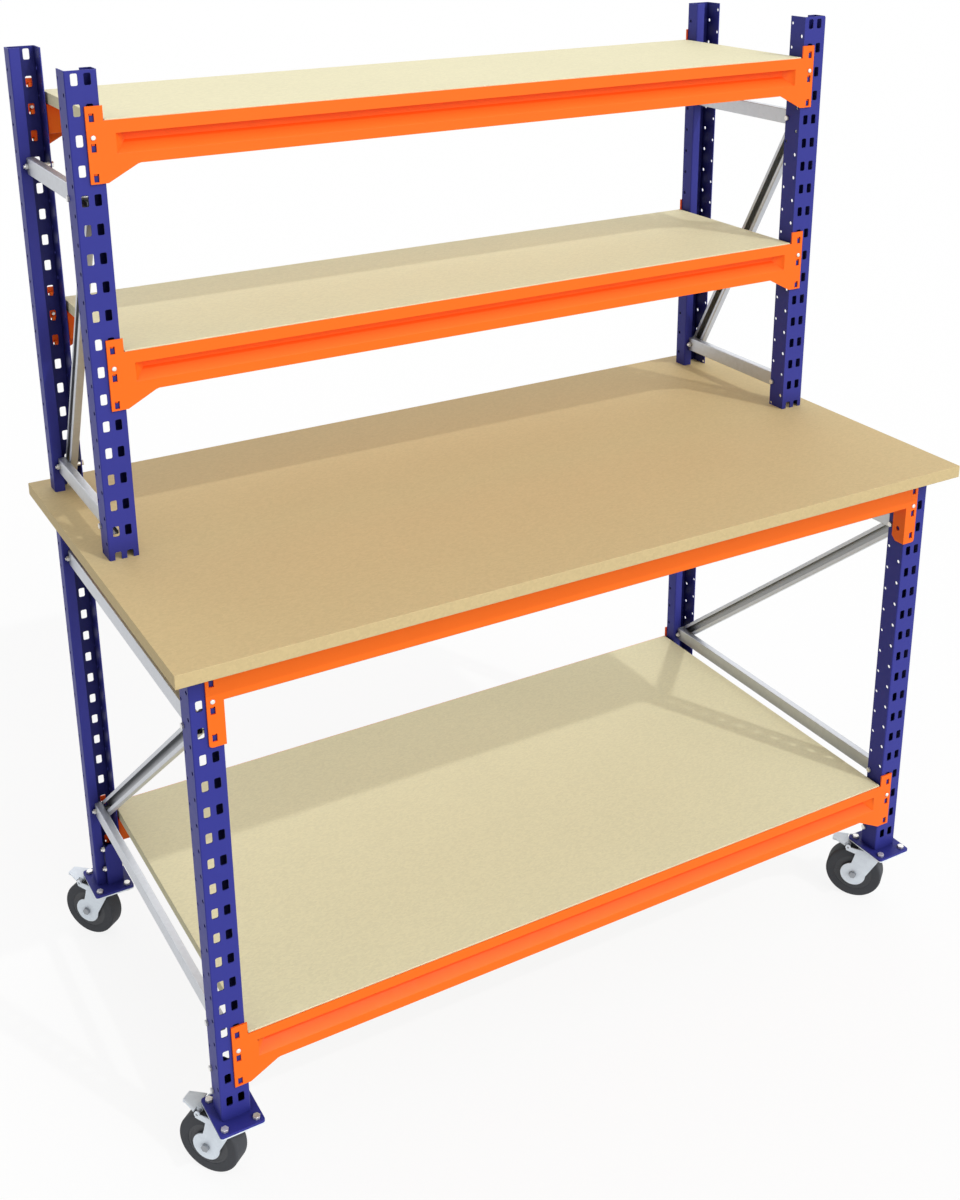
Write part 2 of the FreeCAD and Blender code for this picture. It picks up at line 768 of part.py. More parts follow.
def kingpin(name):
    head_top = fork_under - d.seat_gap
    return fuse(name, [
        cylinder(f"{name}_shank", d.kingpin_radius, plate_under - head_top, (ZERO, ZERO, head_top)),
        cylinder(f"{name}_head", d.kingpin_head_radius, d.kingpin_head_height,
                 (ZERO, ZERO, head_top - d.kingpin_head_height)),
    ])


def fork_leg(name, near_face):
    axle_height, top = d.wheel_radius, fork_top - d.fork_leg_drop
    pivot = d.pedal_pivot_out
    ear_front = pivot + d.fork_ear_front
    return fuse(name, [
        prism(f"{name}_strap", [
            (-d.fork_heel, top), (-d.fork_heel, top - d.fork_heel_height),
            (d.trail - d.fork_disc_radius, axle_height), (d.trail + d.fork_disc_radius / 2, axle_height),
            (pivot - d.fork_neck_inset, top - d.fork_neck_height),
            (pivot - d.fork_notch_inset, top - d.fork_notch_height),
            (ear_front, top - d.fork_ear_height), (ear_front, top),
        ], d.fork_wall, "XZ", (ZERO, near_face, ZERO)),
        cylinder(f"{name}_disc", d.fork_disc_radius, d.fork_wall, (d.trail, near_face, axle_height), "Y"),
        cylinder(f"{name}_ear", d.fork_ear_radius, d.fork_wall,
                 (d.pedal_pivot_out, near_face, d.pedal_pivot_height), "Y"),
    ])


def fork(name):
    bridge_top = fork_top - d.fork_leg_drop
    bridge_length = d.fork_heel + d.fork_bridge_front
    bridge = box(f"{name}_bridge", (bridge_length, half_outer * 2, bridge_top - fork_under),
                 (-d.fork_heel, -half_outer, fork_under))
    head = cylinder(f"{name}_head", d.fork_head_radius, fork_top - fork_under, (ZERO, ZERO, fork_under))
    legs = [fork_leg(f"{name}_left_leg", -half_outer), fork_leg(f"{name}_right_leg", half_inner)]
    across = half_outer * 2 + d.cut_overrun * 2
    near = -(half_outer + d.cut_overrun)
    bores = [
        cylinder(f"{name}_kingpin_bore", d.kingpin_radius + d.running_gap, d.caster_height,
                 (ZERO, ZERO, ZERO)),
        cylinder(f"{name}_axle_bore", d.axle_radius, across, (d.trail, near, d.wheel_radius), "Y"),
        cylinder(f"{name}_pedal_bore", d.pedal_pin_radius, across,
                 (d.pedal_pivot_out, near, d.pedal_pivot_height), "Y"),
    ]
    return cut(name, fuse(f"{name}_blank", [head, bridge] + legs), bores)


def axle(name):
    nut = d.axle_nut_height
    shaft = fuse(f"{name}_shaft", [
        cylinder(f"{name}_bar", d.axle_radius, half_outer * 2 + nut * 2,
                 (d.trail, -(half_outer + nut), d.wheel_radius), "Y"),
        hexagon(f"{name}_head", d.axle_nut_radius, nut, (d.trail, -(half_outer + nut), d.wheel_radius), "Y"),
        hexagon(f"{name}_nut", d.axle_nut_radius, nut, (d.trail, half_outer, d.wheel_radius), "Y"),
    ])
    pin = cylinder(f"{name}_pedal_pin", d.pedal_pin_radius, half_outer * 2,
                   (d.pedal_pivot_out, -half_outer, d.pedal_pivot_height), "Y")
    return group(name, [shaft, pin])


def wheel_barrel(name, radius, width):
    return cylinder(name, radius, width, (d.trail, -(width / 2), d.wheel_radius), "Y")


def wheel_rim(name):
    hub_width = d.fork_inner_width - d.seat_gap * 2
    ring = cut(f"{name}_ring", wheel_barrel(f"{name}_ring_outside", d.rim_radius, d.rim_width),
               [wheel_barrel(f"{name}_ring_inside", d.rim_radius - d.rim_wall, d.rim_width * 2)])
    body = fuse(f"{name}_body", [ring, wheel_barrel(f"{name}_web", d.rim_radius, d.rim_web),
                                 wheel_barrel(f"{name}_hub", d.hub_radius, hub_width)])
    return cut(name, body, [wheel_barrel(f"{name}_bore", d.axle_radius + d.running_gap, hub_width * 2)])


def tyre(name):
    blank = wheel_barrel(f"{name}_blank", d.wheel_radius, d.tyre_width)
    doc.recompute()
    soft = doc.addObject("Part::Fillet", f"{name}_rounded")
    soft.Base = blank
    soft.Edges = [(number, d.tyre_edge.value, d.tyre_edge.value)
                  for number, edge in enumerate(blank.Shape.Edges, start=1) if edge.isClosed()]
    return cut(name, soft, [wheel_barrel(f"{name}_bore", d.rim_radius, d.tyre_width * 2)])


def brake_pedal(name):
    pivot_x, pivot_z, width = d.pedal_pivot_out, d.pedal_pivot_height, d.pedal_width
    near = -(width / 2)
    barrel_top = pivot_z + d.pedal_barrel_radius
    tread = prism(f"{name}_tread", [
        (pivot_x, barrel_top - d.pedal_wall), (d.pedal_tip_out, d.pedal_tip_height - d.pedal_wall),
        (d.pedal_tip_out, d.pedal_tip_height), (pivot_x, barrel_top),
    ], width, "XZ", (ZERO, near, ZERO))
    barrel = cylinder(f"{name}_barrel", d.pedal_barrel_radius, width, (pivot_x, near, pivot_z), "Y")
    shoe = box(f"{name}_shoe", (d.pedal_shoe_length, width, d.pedal_shoe_height),
               (pivot_x, near, barrel_top - d.pedal_shoe_height))
    flare_share = (d.pedal_flare_out - pivot_x) / (d.pedal_tip_out - pivot_x)
    flare_top = barrel_top + (d.pedal_tip_height - barrel_top) * flare_share
    flare_half = d.pedal_flare_width / 2
    flare = common(f"{name}_flare", [
        prism(f"{name}_flare_slope", [
            (d.pedal_flare_out, flare_top - d.pedal_wall),
            (d.pedal_tip_out, d.pedal_tip_height - d.pedal_wall),
            (d.pedal_tip_out, d.pedal_tip_height),
            (d.pedal_flare_out, flare_top),
        ], d.pedal_flare_width, "XZ", (ZERO, -flare_half, ZERO)),
        prism(f"{name}_flare_plan", [
            (d.pedal_flare_out, -flare_half), (d.pedal_tip_out, near),
            (d.pedal_tip_out, -near), (d.pedal_flare_out, flare_half),
        ], d.caster_height),
    ])
    skirts = [prism(f"{name}_skirt", [
        (pivot_x, pivot_z), (d.pedal_tip_out, d.pedal_tip_height - d.pedal_skirt),
        (d.pedal_tip_out, d.pedal_tip_height), (pivot_x, barrel_top),
    ], d.pedal_wall, "XZ", (ZERO, side, ZERO)) for side in (near, width / 2 - d.pedal_wall)]
    bore = cylinder(f"{name}_bore", d.pedal_pin_radius + d.running_gap, width * 2,
                    (pivot_x, -width, pivot_z), "Y")
    return cut(name, fuse(f"{name}_blank", [tread, flare, barrel, shoe] + skirts), [bore])


top_plate_form = bolted_plate("caster_plate_form", d.caster_plate, -(d.foot_plate_thickness + d.caster_plate))
race_form = caster_race("caster_race_form")
kingpin_form = kingpin("kingpin_form")
CASTER_FORMS = {
    "caster_fork": fork("fork_form"),
    "caster_axle": axle("axle_form"),
    "wheel_rim": wheel_rim("rim_form"),
    "tyre": tyre("tyre_form"),
    "brake_pedal": brake_pedal("pedal_form"),
}


def under_post(name, master, post):
    """Puts a copy of a caster piece below the middle of a post's foot, at the casters' heading."""
    post_x, turned = POSTS[post]
    back = rear_face - d.foot_plate_back if turned else lower_front + d.foot_plate_back
    return place(group(name, [master]), post_x + d.web_width / 2, back, ZERO, angle=d.caster_heading.value)


held_groups = {"foot_bolts": post_bolts, "caster_plate_bolts": plate_bolts}
for post in POSTS:
    node(f"post_foot_{post}", stand(f"post_foot_{post}", foot_form, post, lower_front, lower_bottom))
    for piece, form in CASTER_FORMS.items():
        node(f"{piece}_{post}", under_post(f"{piece}_{post}", form, post))
for name, form in held_groups.items():
    node(name, group(name, [stand(f"{name}_copy", form, post, lower_front, lower_bottom) for post in POSTS]))
plates = [stand("top_plate_copy", top_plate_form, post, lower_front, lower_bottom) for post in POSTS]
races = [under_post("race_copy", race_form, post) for post in POSTS]
node("caster_top_plates", group("caster_top_plates", plates + races))
node("kingpins", group("kingpins", [under_post("kingpin_copy", kingpin_form, post) for post in POSTS]))


doc.recompute()
for thing in doc.Objects:
    if "Invalid" in thing.State or "Error" in thing.State:
        raise RuntimeError(f"{thing.Label} did not build")
os.makedirs("parts", exist_ok=True)
for made in nodes:
    shape = made.Shape
    if shape.isNull() or not shape.isValid():
        raise RuntimeError(f"{made.Label} has no valid shape")
    shape.exportStep(os.path.join("parts", f"{made.Label}.step"))
print(len(nodes), "sub-parts written")
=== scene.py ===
"""Mobile workbench: finishes, folded edges, wheels and fasteners dressed over the frame, with its stage."""

import json
import math

import bpy
from bpy.props import FloatProperty, FloatVectorProperty, IntProperty, PointerProperty
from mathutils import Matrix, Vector


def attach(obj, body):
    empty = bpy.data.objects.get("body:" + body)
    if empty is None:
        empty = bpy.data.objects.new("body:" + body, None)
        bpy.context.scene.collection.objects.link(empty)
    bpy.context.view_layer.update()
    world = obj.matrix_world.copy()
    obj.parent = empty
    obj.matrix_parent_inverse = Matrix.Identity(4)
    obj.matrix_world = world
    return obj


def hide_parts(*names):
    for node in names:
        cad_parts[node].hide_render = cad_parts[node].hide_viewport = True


bl_info = {
    "name": "Mobile workbench",
    "version": (1, 0, 0),
    "blender": (4, 5, 0),
    "location": "View3D > Sidebar > Workbench",
    "description": "Dresses the workbench's frame, boards and casters, and sets its stage",
    "category": "Object",
}

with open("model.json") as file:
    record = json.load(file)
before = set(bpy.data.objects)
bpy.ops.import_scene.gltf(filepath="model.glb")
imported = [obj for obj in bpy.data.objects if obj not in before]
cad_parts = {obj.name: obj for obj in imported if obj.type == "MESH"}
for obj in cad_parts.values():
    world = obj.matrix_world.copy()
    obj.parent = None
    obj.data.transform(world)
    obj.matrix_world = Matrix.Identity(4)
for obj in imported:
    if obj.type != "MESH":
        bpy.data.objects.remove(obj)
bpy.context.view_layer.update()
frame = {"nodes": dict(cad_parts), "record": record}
BODIES = frame["record"]["behaviour"]["bodies"]
BODY_OF = {node: body for body, members in BODIES.items() for node in members}
SLOT_OF = {row["node"]: row["material_slot"] for row in frame["record"]["subparts"]}
POSTS = ("front_left", "front_right", "rear_left", "rear_right")
LEVELS = ("lower_shelf", "worktop", "middle_shelf", "top_shelf")


def colour(name, default, description):
    return FloatVectorProperty(name=name, description=description, subtype="COLOR", size=3,
                               min=0.0, max=1.0, default=default)


def length(name, default, description):
    return FloatProperty(name=name, description=description, default=default, min=0.0, unit="LENGTH")


class BenchColours(bpy.types.PropertyGroup):
    """Colours of the bench's finishes and of its stage."""

    upright_blue: colour("Upright blue", (0.034, 0.038, 0.275), "Powder coat of the uprights and feet")
    beam_orange: colour("Beam orange", (1.0, 0.165, 0.010), "Powder coat of the beams and connectors")
    shelf_board: colour("Shelf board", (0.765, 0.71, 0.465), "Face of the pale shelf boards")
    worktop_board: colour("Worktop board", (0.61, 0.475, 0.24), "Face of the worktop")
    zinc: colour("Zinc", (0.58, 0.60, 0.635), "Plating of the braces")
    fork_zinc: colour("Fork zinc", (0.80, 0.87, 0.96), "Pressed steel of the casters")
    axle_steel: colour("Axle steel", (0.36, 0.38, 0.41), "Duller steel of the axles")
    bolt_zinc: colour("Bolt zinc", (0.86, 0.85, 0.82), "Bright plating of the bolts and pins")
    tyre_grey: colour("Tyre grey", (0.042, 0.045, 0.052), "Rubber of the wheels")
    rim_grey: colour("Rim grey", (0.044, 0.047, 0.054), "Moulded rim of the wheels")
    floor: colour("Floor", (0.90, 0.90, 0.90), "Studio floor as the camera sees it")
    floor_bounce: colour("Floor bounce", (0.42, 0.42, 0.42), "Studio floor as the bench's light sees it")


class BenchSizes(bpy.types.PropertyGroup):
    """Sizes of the folds, lips and rounded edges."""

    upright_fold: length("Upright fold", 0.0028, "Outside radius of the uprights' folds")
    beam_fold: length("Beam fold", 0.0030, "Outside radius of the beams' folds")
    brace_fold: length("Brace fold", 0.0018, "Outside radius of the braces' folds")
    brace_lip: length("Brace lip", 0.0080, "Width of the lips along the braces' open side")
    brace_wall: length("Brace wall", 0.0015, "Sheet thickness of the braces")
    board_edge: length("Board edge", 0.0010, "Broken edge of the boards")
    plate_edge: length("Plate edge", 0.0004, "Broken edge of plates and bolts")
    connector_corner: length("Connector corner", 0.0060, "Rounded lower corner of the worktop's connectors")
    pin_dome: length("Pin dome", 0.0020, "Rounding of the lock pins' heads")
    fold_steps: IntProperty(name="Fold steps", description="Segments in a rounded fold", default=3,
                            min=1, max=8)


SEEN_RAYS = ("Is Camera Ray", "Is Glossy Ray", "Is Transmission Ray")
BLACK = (0.0, 0.0, 0.0, 1.0)
WHITE = (1.0, 1.0, 1.0, 1.0)

# A Mix node's sockets when it mixes colours
MIX_FACTOR = 0
MIX_FIRST = 6
MIX_SECOND = 7
MIX_RESULT = 2

NOISE_ROUGHNESS = 0.55
OPENNESS_SAMPLES = 8


class Value:
    """A shader value that Python arithmetic can work on."""

    def __init__(self, sheet, socket):
        self.sheet = sheet
        self.socket = socket

    def __add__(self, other):
        return self.sheet.math("ADD", self, other)

    __radd__ = __add__

    def __mul__(self, other):
        return self.sheet.math("MULTIPLY", self, other)

    __rmul__ = __mul__


class NodeSheet:
    """A node tree that is written as expressions."""

    def __init__(self, tree, output_kind):
        self.tree = tree
        self.tree.nodes.clear()
        self.output = self.tree.nodes.new(output_kind)

    def feed(self, socket, term):
        """Links a value to a socket, or sets the socket to a constant."""
        if isinstance(term, Value):
            self.tree.links.new(term.socket, socket)
        else:
            socket.default_value = term

    def node(self, kind, settings=None, inputs=None, output=0):
        """A node of any kind, with its settings made first and its sockets fed after them."""
        made = self.tree.nodes.new(kind)
        for key, setting in (settings or {}).items():
            if key == "stops":
                ramp = made.color_ramp
                while len(ramp.elements) < len(setting):
                    ramp.elements.new(1.0)
                for element, (position, shade) in zip(ramp.elements, setting):
                    element.position = position
                    element.color = shade
            else:
                setattr(made, key, setting)
        for key, term in (inputs or {}).items():
            self.feed(made.inputs[key], term)
        return Value(self, made.outputs[output])

    def math(self, operation, *terms):
        return self.node("ShaderNodeMath", {"operation": operation}, dict(enumerate(terms)))

    def show(self, shader):
        """Makes a shader the sheet's result."""
        self.feed(self.output.inputs["Surface"], shader)

    def seen(self):
        """1 where a surface is looked at, mirrored or through glass too, and 0 where it only gives light."""
        straight, mirrored, through = [self.node("ShaderNodeLightPath", output=ray) for ray in SEEN_RAYS]
        return self.math("MAXIMUM", straight, self.math("MAXIMUM", mirrored, through))


class Finish(NodeSheet):
    """One procedural material."""

    def __init__(self, name):
        self.material = bpy.data.materials.new(name)
        self.material.use_nodes = True
        super().__init__(self.material.node_tree, "ShaderNodeOutputMaterial")
        self.result = self.node("ShaderNodeBsdfPrincipled", output="BSDF")
        self.shader = self.result.socket.node
        self.show(self.result)
        self.place = self.node("ShaderNodeTexCoord", output="Object")

    def noise(self, scale, detail):
        return self.node("ShaderNodeTexNoise", None, {
            "Vector": self.place, "Scale": scale, "Detail": detail, "Roughness": NOISE_ROUGHNESS})

    def cells(self, scale, place):
        """Small cells, each of one random tone from 0 to 1."""
        made = self.node("ShaderNodeTexVoronoi", None, {"Vector": place, "Scale": scale}, "Color")
        return self.node("ShaderNodeSeparateColor", None, {0: made})

    def stretched(self, scale):
        return self.node("ShaderNodeMapping", None, {"Vector": self.place, "Scale": scale})

    def ramp(self, value, stops):
        return self.node("ShaderNodeValToRGB", {"stops": stops}, {"Fac": value})

    def blend(self, factor, first, second):
        return self.node("ShaderNodeMix", {"data_type": "RGBA"}, {
            MIX_FACTOR: factor, MIX_FIRST: first, MIX_SECOND: second}, MIX_RESULT)

    def shaded(self, tint, low, high, value):
        """A tint between two strengths of itself, as a value goes from 0 to 1."""
        return self.blend(value, scaled(tint, low), scaled(tint, high))

    def openness(self, reach):
        """1 on open faces, and less where other faces stand within reach, as in a fold; it masks the painted
        shade in folds.
        """
        return self.node("ShaderNodeAmbientOcclusion", {"samples": OPENNESS_SAMPLES},
                         {"Distance": reach}, "AO")

    def bump(self, height, strength, distance):
        normal = self.node("ShaderNodeBump", None, {
            "Height": height, "Strength": strength, "Distance": distance})
        self.feed(self.shader.inputs["Normal"], normal)

    def set(self, **sockets):
        """Feeds sockets of the surface, named in small letters with underscores."""
        for key, term in sockets.items():
            self.feed(self.shader.inputs[key.replace("_", " ").title()], term)


def scaled(tint, share=1.0):
    """A tint at a share of its strength, as an opaque colour."""
    return tuple(min(1.0, part * share) for part in tint[:3]) + (1.0,)


def painted_shade_tint(tint, depth):
    """Painted shade: the richer, darker tint that a paint shows where it is lit mostly by light bounced off
    itself, as in its folds.
    """
    return scaled([part ** depth for part in tint])


# Painted shade in the coats' folds: how far the painted shade reaches, and how much deeper the colour is
# painted there
BLUE_PAINTED_SHADE = (0.06, 2.6)
ORANGE_PAINTED_SHADE = (0.035, 1.7)
COAT_SHINE = 0.20
COAT_ROUGHNESS = 0.42
COAT_GRIME = 0.12
COAT_CLOUD_SHARE = 0.7
COAT_PEEL_SHARE = 0.3


def powder_coat(name, tint, painted_shade_reach, painted_shade_depth):
    """Baked powder coat: fine orange peel, faint clouding, and painted shade, a deeper colour in folds and
    corners.
    """
    made = Finish(name)
    unshaded_share = made.openness(painted_shade_reach)
    peel = made.noise(scale=700.0, detail=2.0)
    cloud = made.noise(scale=9.0, detail=4.0)
    grime = made.noise(scale=60.0, detail=5.0)
    mottle = cloud * COAT_CLOUD_SHARE + peel * COAT_PEEL_SHARE
    coat = made.shaded(tint, low=0.93, high=1.05, value=mottle)
    # Painted shade: folds and corners are blended towards the deeper tint where other faces stand near
    made.set(base_color=made.blend(unshaded_share, painted_shade_tint(tint, painted_shade_depth), coat),
             roughness=COAT_ROUGHNESS + grime * COAT_GRIME)
    made.shader.inputs["Specular IOR Level"].default_value = COAT_SHINE
    made.bump(peel, strength=0.10, distance=0.0004)
    return made.material


FLAKE_STRETCH = (1.0, 1.6, 1.3)
FLAKE_SHARE = 0.45
DUST_SHARE = 0.3
DRIFT_SHARE = 0.25
SPECK_STOPS = [(0.66, BLACK), (0.74, WHITE)]
SPECK_STRENGTH = 0.16
SPECK_SHADE = 0.55
BOARD_ROUGHNESS = 0.62
BOARD_DUST = 0.15
BOARD_RELIEF = 0.5


def chipboard(name, tint):
    """Pressed wood chips: pale and dark flakes in a fine sanded face."""
    made = Finish(name)
    flake = made.cells(scale=190.0, place=made.stretched(FLAKE_STRETCH))
    dust = made.noise(scale=900.0, detail=3.0)
    drift = made.noise(scale=5.0, detail=3.0)
    speck = made.ramp(made.noise(scale=420.0, detail=1.0), SPECK_STOPS)
    mottle = flake * FLAKE_SHARE + dust * DUST_SHARE + drift * DRIFT_SHARE
    face = made.shaded(tint, low=0.90, high=1.08, value=mottle)
    made.set(base_color=made.blend(speck * SPECK_STRENGTH, face, scaled(tint, SPECK_SHADE)),
             roughness=BOARD_ROUGHNESS + dust * BOARD_DUST)
    made.bump(dust * BOARD_RELIEF + flake * BOARD_RELIEF, strength=0.18, distance=0.0004)
    return made.material


# Painted shade in the zinc's folds: how far it reaches, and the share of the tint left there
ZINC_PAINTED_SHADE_REACH = 0.03
ZINC_PAINTED_SHADE_SHARE = 0.40
ZINC_SPANGLE_SHARE = 0.4
ZINC_CLOUD_SHARE = 0.6
ZINC_CLOUD_ROUGHNESS = 0.10
ZINC_SPANGLE_ROUGHNESS = 0.05


def zinc_plate(name, tint, metal=0.85, gloss=0.36):
    """Galvanised steel: soft spangle, faint clouding, and painted shade, a duller grey in the folds."""
    made = Finish(name)
    spangle = made.cells(scale=120.0, place=made.place)
    cloud = made.noise(scale=14.0, detail=4.0)
    fine = made.noise(scale=500.0, detail=2.0)
    mottle = spangle * ZINC_SPANGLE_SHARE + cloud * ZINC_CLOUD_SHARE
    plating = made.shaded(tint, low=0.90, high=1.08, value=mottle)
    # Painted shade: folds and the insides of channels are blended towards a duller grey
    unshaded_share = made.openness(ZINC_PAINTED_SHADE_REACH)
    made.set(base_color=made.blend(unshaded_share, scaled(tint, ZINC_PAINTED_SHADE_SHARE), plating),
             roughness=gloss + cloud * ZINC_CLOUD_ROUGHNESS + spangle * ZINC_SPANGLE_ROUGHNESS,
             metallic=metal)
    made.bump(fine, strength=0.06, distance=0.0003)
    return made.material


TYRE_ROUGHNESS = 0.70
TYRE_DUST = 0.18


def tyre_rubber(name, tint):
    """Matt rubber with a dusty bloom."""
    made = Finish(name)
    dust = made.noise(scale=90.0, detail=5.0)
    grain = made.noise(scale=1500.0, detail=2.0)
    made.set(base_color=made.shaded(tint, low=0.85, high=1.35, value=dust),
             roughness=TYRE_ROUGHNESS + dust * TYRE_DUST)
    made.bump(grain, strength=0.12, distance=0.0003)
    return made.material


RIM_ROUGHNESS = 0.45
RIM_CLOUD = 0.1


def rim_plastic(name, tint):
    """Moulded nylon with a fine eroded grain."""
    made = Finish(name)
    grain = made.noise(scale=1200.0, detail=2.0)
    cloud = made.noise(scale=40.0, detail=3.0)
    made.set(base_color=made.shaded(tint, low=0.9, high=1.1, value=cloud),
             roughness=RIM_ROUGHNESS + cloud * RIM_CLOUD)
    made.bump(grain, strength=0.10, distance=0.0003)
    return made.material


FINISHES = {}


def finish_of(slot):
    """The material for one of the record's slots, or for bolts or axles. The first call makes them all."""
    if not FINISHES:
        tints = bpy.context.scene.bench_colours
        FINISHES["blue_paint"] = powder_coat("upright_blue", tints.upright_blue, *BLUE_PAINTED_SHADE)
        FINISHES["orange_paint"] = powder_coat("beam_orange", tints.beam_orange, *ORANGE_PAINTED_SHADE)
        FINISHES["shelf_board"] = chipboard("shelf_chipboard", tints.shelf_board)
        FINISHES["worktop_board"] = chipboard("worktop_chipboard", tints.worktop_board)
        FINISHES["zinc_plate"] = zinc_plate("zinc_plate", tints.zinc)
        FINISHES["fork_zinc"] = zinc_plate("fork_zinc", tints.fork_zinc, metal=0.35, gloss=0.42)
        FINISHES["bolts"] = zinc_plate("bolt_zinc", tints.bolt_zinc, metal=0.7, gloss=0.25)
        FINISHES["axle"] = zinc_plate("axle_steel", tints.axle_steel, metal=0.6, gloss=0.40)
        FINISHES["grey_rubber"] = tyre_rubber("tyre_rubber", tints.tyre_grey)
        FINISHES["rim_plastic"] = rim_plastic("rim_plastic", tints.rim_grey)
    return FINISHES[slot]


SAME_POINT = 1e-6
FLAT_ANGLE = 0.5
SHARP_ANGLE = 20.0
SMOOTH_ANGLE = 32.0
LARGE_FACES_FIRST = 100
EDGE_STEPS = 2
CORNER_STEPS = 4
SAME_WAY = 0.9
ACROSS = 0.1


def select_only(piece):
    bpy.ops.object.select_all(action="DESELECT")
    piece.select_set(True)
    bpy.context.view_layer.objects.active = piece


def merged_copy(node):
    """A copy of a CAD node's mesh with its loose triangles joined into whole faces."""
    source = frame["nodes"][node]
    piece = bpy.data.objects.new(f"{node}.dressed", source.data.copy())
    bpy.context.collection.objects.link(piece)
    join_flat_faces(piece)
    return piece


def join_flat_faces(piece):
    """Merges points that coincide, and faces that lie flat beside each other."""
    select_only(piece)
    bpy.ops.object.mode_set(mode="EDIT")
    bpy.ops.mesh.select_all(action="SELECT")
    bpy.ops.mesh.remove_doubles(threshold=SAME_POINT)
    bpy.ops.mesh.dissolve_limited(angle_limit=math.radians(FLAT_ANGLE))
    bpy.ops.object.mode_set(mode="OBJECT")


def finish_piece(piece, node, finish=None):
    """Shades a piece that stands for a node, gives it the finish of the node's slot, hangs it on the node's
    body and hides the node.
    """
    select_only(piece)
    bpy.ops.object.shade_smooth_by_angle(angle=math.radians(SMOOTH_ANGLE))
    flat = piece.modifiers.new("flat_faces", "WEIGHTED_NORMAL")
    flat.keep_sharp = True
    flat.weight = LARGE_FACES_FIRST
    bpy.ops.object.modifier_apply(modifier=flat.name)
    piece.data.materials.clear()
    piece.data.materials.append(finish_of(finish or SLOT_OF[node]))
    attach(piece, BODY_OF[node])
    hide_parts(node)


class Corner:
    """An edge of a mesh with its length, its two faces and whether it lies outside, as on a box."""

    def __init__(self, mesh, edge, sides):
        (first, _), (second, into_second) = sides
        self.ends = [mesh.vertices[key].co for key in edge.vertices]
        self.run = (self.ends[1] - self.ends[0]).length
        self.faces = (first, second)
        self.turn = first.normal.angle(second.normal, 0.0)
        self.outside = first.normal.dot(into_second) < 0


def edge_sides(mesh):
    """For each edge, the faces that meet there, each with the direction from the edge into it."""
    found = [[] for _ in mesh.edges]
    for face in mesh.polygons:
        for key in face.loop_indices:
            loop = mesh.loops[key]
            first, second = mesh.edges[loop.edge_index].vertices
            along = mesh.vertices[second].co - mesh.vertices[first].co
            if loop.vertex_index == second:
                along = -along
            found[loop.edge_index].append((face, face.normal.cross(along)))
    return found


def clear_selection(mesh):
    for thing in (*mesh.vertices, *mesh.edges, *mesh.polygons):
        thing.select = False


def select_corners(piece, keep):
    """Selects the sharp edges that a test keeps, and says how many they are."""
    mesh = piece.data
    clear_selection(mesh)
    count = 0
    for edge, sides in zip(mesh.edges, edge_sides(mesh)):
        if len(sides) != 2:
            continue
        corner = Corner(mesh, edge, sides)
        if corner.turn > math.radians(SHARP_ANGLE) and keep(corner):
            edge.select = True
            count += 1
    return count


def round_edges(piece, radius, steps, keep):
    """Bevels the sharp edges that a test keeps."""
    bpy.context.tool_settings.mesh_select_mode = (False, True, False)
    if not select_corners(piece, keep):
        return
    select_only(piece)
    bpy.ops.object.mode_set(mode="EDIT")
    bpy.ops.mesh.bevel(offset=radius, segments=steps, affect="EDGES", clamp_overlap=False)
    bpy.ops.object.mode_set(mode="OBJECT")


def every_corner(corner):
    return True


def outside_corner(corner):
    return corner.outside


def fold_test(shortest, narrowest):
    """Keeps long outside edges between two faces that are both wider than a sheet's cut edge."""
    def keep(corner):
        wide = min(face.area for face in corner.faces) / corner.run
        return corner.outside and corner.run > shortest and wide > narrowest
    return keep


class BENCH_OT_uprights(bpy.types.Operator):
    """Dress the slotted uprights with rounded folds and blue powder coat"""

    bl_idname = "bench.uprights"
    bl_label = "Uprights"

    def execute(self, context):
        sizes = context.scene.bench_sizes
        for tier in ("lower", "upper"):
            for post in POSTS:
                node = f"{tier}_upright_{post}"
                piece = merged_copy(node)
                folds = fold_test(shortest=0.3, narrowest=0.006)
                round_edges(piece, sizes.upright_fold, sizes.fold_steps, folds)
                finish_piece(piece, node)
        return {"FINISHED"}


BEAM_END = 0.7505
SHEET_EDGE = 0.004
SQUARE_ACROSS = 0.99

# This plane lies between the front and the rear beams of every level
MIDDLE_PLANE = 0.2


def beside_beam(corner):
    """Keeps a connector's outside edges, but not the fold that the beam is welded to."""
    return corner.outside and min(abs(end.x) for end in corner.ends) > BEAM_END


def lower_corner_test(piece):
    """Keeps the short edges at the free lower corners of the connectors' front legs."""
    lowest = min(vertex.co.z for vertex in piece.data.vertices)

    def keep(corner):
        first, second = corner.ends
        across = abs(second.y - first.y)
        return (corner.run < SHEET_EDGE and across > corner.run * SQUARE_ACROSS
                and max(first.z, second.z) < lowest + SHEET_EDGE)
    return keep


def pin_rim(corner):
    """Keeps the front rim of a lock pin's head."""
    fronts = [face for face in corner.faces
              if abs(face.normal.y) > SAME_WAY and face.normal.y * (face.center.y - MIDDLE_PLANE) > 0]
    return corner.outside and bool(fronts)


class BENCH_OT_beams(bpy.types.Operator):
    """Dress the beams and their end connectors in orange powder coat"""

    bl_idname = "bench.beams"
    bl_label = "Beams"

    def execute(self, context):
        sizes = context.scene.bench_sizes
        for level in LEVELS:
            for side in ("front", "rear"):
                node = f"{level}_beam_{side}"
                piece = merged_copy(node)
                folds = fold_test(shortest=0.8, narrowest=0.005)
                round_edges(piece, sizes.beam_fold, sizes.fold_steps, folds)
                finish_piece(piece, node)
            node = f"{level}_connectors"
            piece = merged_copy(node)
            if level == "worktop":
                round_edges(piece, sizes.connector_corner, CORNER_STEPS, lower_corner_test(piece))
            round_edges(piece, sizes.plate_edge, EDGE_STEPS, beside_beam)
            finish_piece(piece, node)
        return {"FINISHED"}


